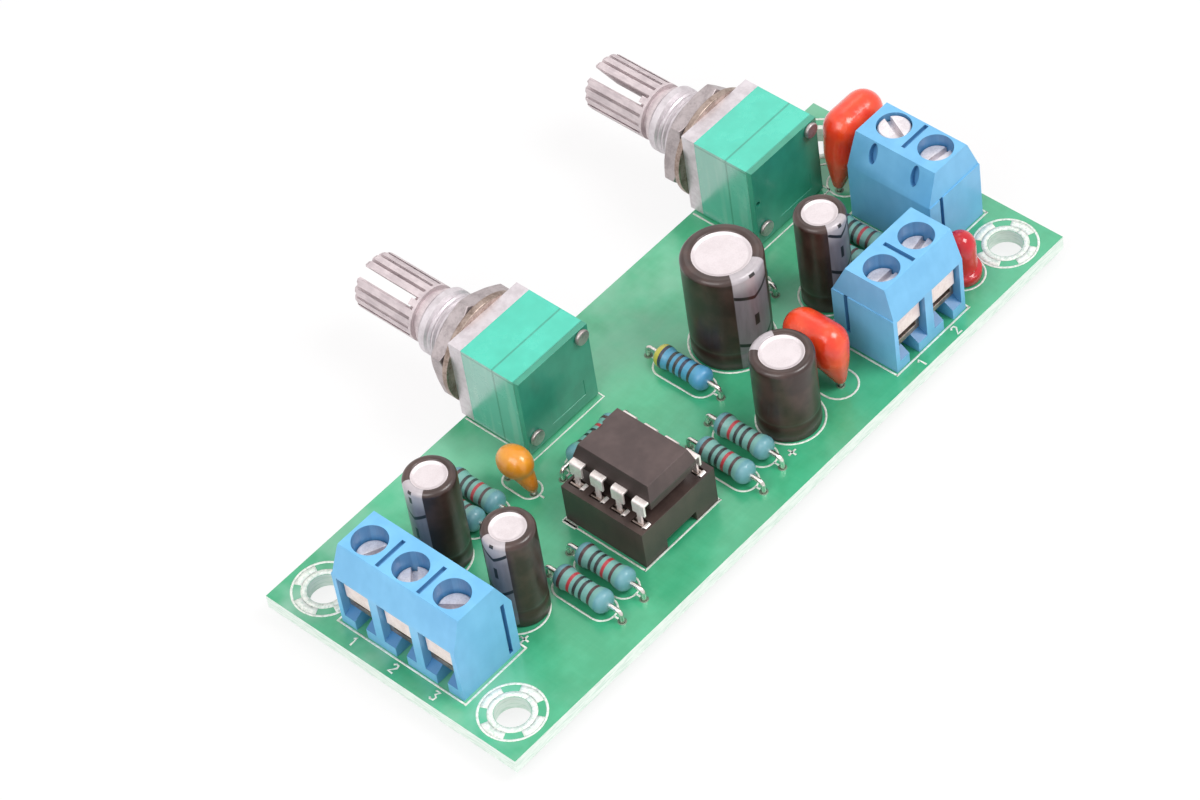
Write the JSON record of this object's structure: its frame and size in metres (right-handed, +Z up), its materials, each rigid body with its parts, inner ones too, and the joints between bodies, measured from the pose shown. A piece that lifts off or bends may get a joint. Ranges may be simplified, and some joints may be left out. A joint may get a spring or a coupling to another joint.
{
  "type": "subwoofer preamp board",
  "caption": "Small audio low-pass circuit board with screw terminal blocks, a socketed chip and two dual-gang rotary controls whose knurled shafts point off one long edge.",
  "frame": {"origin": "middle of the four mounting holes, on the underside of the board", "axes": "+X along the board from the input terminals to the power terminals, +Y the way the control shafts point, +Z up through the mounting holes"},
  "size_m": [0.078, 0.0466, 0.015],
  "materials": {
    "board": "glossy solder mask",
    "solder": "tinned",
    "blue_housing": "satin",
    "tinned_metal": "tinned",
    "screw_steel": "nickel plated",
    "die_cast": "satin",
    "plated_steel": "nickel plated",
    "washer_steel": "satin",
    "shaft_metal": "turned",
    "teal_case": "semi-gloss",
    "teal_cover": "semi-gloss",
    "rivet_metal": "satin",
    "wafer": "matt",
    "rotor": "matt",
    "chip": "fine matt",
    "socket": "satin",
    "sleeve": "glossy film",
    "can": "satin",
    "bung": "matt",
    "film_coat": "glossy dip",
    "ceramic_coat": "glossy dip",
    "red_lens": "clear tinted",
    "resistor": "satin lacquer",
    "lead": "tinned"
  },
  "bodies": {
    "board": {"circuit_board": "board", "solder_joints": "solder", "input_block": "blue_housing", "input_contacts": "tinned_metal", "power_block": "blue_housing", "power_contacts": "tinned_metal", "output_block": "blue_housing", "output_contacts": "tinned_metal", "volume_front_plate": "die_cast", "volume_washer": "washer_steel", "volume_nut": "plated_steel", "volume_front_case": "teal_case", "volume_rear_case": "teal_case", "volume_back_cover": "teal_cover", "volume_rivets": "rivet_metal", "filter_front_plate": "die_cast", "filter_washer": "washer_steel", "filter_nut": "plated_steel", "filter_front_case": "teal_case", "filter_rear_case": "teal_case", "filter_back_cover": "teal_cover", "filter_rivets": "rivet_metal", "control_wafers": "wafer", "control_pins": "lead", "amplifier_chip": "chip", "chip_leads": "lead", "chip_socket": "socket", "socket_contacts": "lead", "capacitor_sleeve_1": "sleeve", "capacitor_sleeve_2": "sleeve", "capacitor_sleeve_3": "sleeve", "capacitor_sleeve_4": "sleeve", "capacitor_sleeve_5": "sleeve", "capacitor_cans": "can", "capacitor_bungs": "bung", "film_capacitor_1": "film_coat", "film_capacitor_2": "film_coat", "ceramic_capacitor": "ceramic_coat", "indicator_lens": "red_lens", "resistor_bodies": "resistor", "component_leads": "lead"},
    "input_leaf_1": {"input_leaf_1": "tinned_metal"},
    "input_screw_1": {"input_screw_1": "screw_steel"},
    "input_leaf_2": {"input_leaf_2": "tinned_metal"},
    "input_screw_2": {"input_screw_2": "screw_steel"},
    "input_leaf_3": {"input_leaf_3": "tinned_metal"},
    "input_screw_3": {"input_screw_3": "screw_steel"},
    "power_leaf_1": {"power_leaf_1": "tinned_metal"},
    "power_screw_1": {"power_screw_1": "screw_steel"},
    "power_leaf_2": {"power_leaf_2": "tinned_metal"},
    "power_screw_2": {"power_screw_2": "screw_steel"},
    "output_leaf_1": {"output_leaf_1": "tinned_metal"},
    "output_screw_1": {"output_screw_1": "screw_steel"},
    "output_leaf_2": {"output_leaf_2": "tinned_metal"},
    "output_screw_2": {"output_screw_2": "screw_steel"},
    "volume_shaft": {"volume_shaft": "shaft_metal", "volume_rotors": "rotor"},
    "filter_shaft": {"filter_shaft": "shaft_metal", "filter_rotors": "rotor"}
  },
  "joints": [
    {"name": "input_clamp_1", "type": "slide", "parent": "board", "child": "input_leaf_1", "axis": [0, 0, 1], "range_m": [-0.00055, 0.00165]},
    {"name": "input_screw_turn_1", "type": "hinge", "parent": "input_leaf_1", "child": "input_screw_1", "pos_m": [-0.0336, 0.00529, 0.0076], "axis": [0, 0, 1], "range_deg": [-396.25, 1188.25]},
    {"name": "input_clamp_2", "type": "slide", "parent": "board", "child": "input_leaf_2", "axis": [0, 0, 1], "range_m": [-0.00055, 0.00165]},
    {"name": "input_screw_turn_2", "type": "hinge", "parent": "input_leaf_2", "child": "input_screw_2", "pos_m": [-0.0336, 0.00021, 0.0076], "axis": [0, 0, 1], "range_deg": [-396.25, 1188.25]},
    {"name": "input_clamp_3", "type": "slide", "parent": "board", "child": "input_leaf_3", "axis": [0, 0, 1], "range_m": [-0.00055, 0.00165]},
    {"name": "input_screw_turn_3", "type": "hinge", "parent": "input_leaf_3", "child": "input_screw_3", "pos_m": [-0.0336, -0.00487, 0.0076], "axis": [0, 0, 1], "range_deg": [-396.25, 1188.25]},
    {"name": "power_clamp_1", "type": "slide", "parent": "board", "child": "power_leaf_1", "axis": [0, 0, 1], "range_m": [-0.00115, 0.00105]},
    {"name": "power_screw_turn_1", "type": "hinge", "parent": "power_leaf_1", "child": "power_screw_1", "pos_m": [0.03375, -0.00493, 0.0076], "axis": [0, 0, 1], "range_deg": [-828.25, 756.25]},
    {"name": "power_clamp_2", "type": "slide", "parent": "board", "child": "power_leaf_2", "axis": [0, 0, 1], "range_m": [-0.0022, 0]},
    {"name": "power_screw_turn_2", "type": "hinge", "parent": "power_leaf_2", "child": "power_screw_2", "pos_m": [0.03375, 0.00015, 0.0076], "axis": [0, 0, 1], "range_deg": [-1584.25, 0]},
    {"name": "output_clamp_1", "type": "slide", "parent": "board", "child": "output_leaf_1", "axis": [0, 0, 1], "range_m": [-0.00075, 0.00145]},
    {"name": "output_screw_turn_1", "type": "hinge", "parent": "output_leaf_1", "child": "output_screw_1", "pos_m": [0.01872, -0.01065, 0.0076], "axis": [0, 0, 1], "range_deg": [-540.25, 1044.25]},
    {"name": "output_clamp_2", "type": "slide", "parent": "board", "child": "output_leaf_2", "axis": [0, 0, 1], "range_m": [-0.00075, 0.00145]},
    {"name": "output_screw_turn_2", "type": "hinge", "parent": "output_leaf_2", "child": "output_screw_2", "pos_m": [0.0238, -0.01065, 0.0076], "axis": [0, 0, 1], "range_deg": [-540.25, 1044.25]},
    {"name": "volume_turn", "type": "hinge", "parent": "board", "child": "volume_shaft", "pos_m": [-0.0073, 0.016, 0.0067], "axis": [0, 1, 0], "range_deg": [-150, 150]},
    {"name": "filter_turn", "type": "hinge", "parent": "board", "child": "filter_shaft", "pos_m": [0.02565, 0.016, 0.0067], "axis": [0, 1, 0], "range_deg": [-150, 150]}
  ],
  "couplings": [
    {"joint": "input_screw_turn_1", "follows": "input_clamp_1", "rad_per_m": 12566},
    {"joint": "input_screw_turn_2", "follows": "input_clamp_2", "rad_per_m": 12566},
    {"joint": "input_screw_turn_3", "follows": "input_clamp_3", "rad_per_m": 12566},
    {"joint": "power_screw_turn_1", "follows": "power_clamp_1", "rad_per_m": 12566},
    {"joint": "power_screw_turn_2", "follows": "power_clamp_2", "rad_per_m": 12566},
    {"joint": "output_screw_turn_1", "follows": "output_clamp_1", "rad_per_m": 12566},
    {"joint": "output_screw_turn_2", "follows": "output_clamp_2", "rad_per_m": 12566}
  ]
}
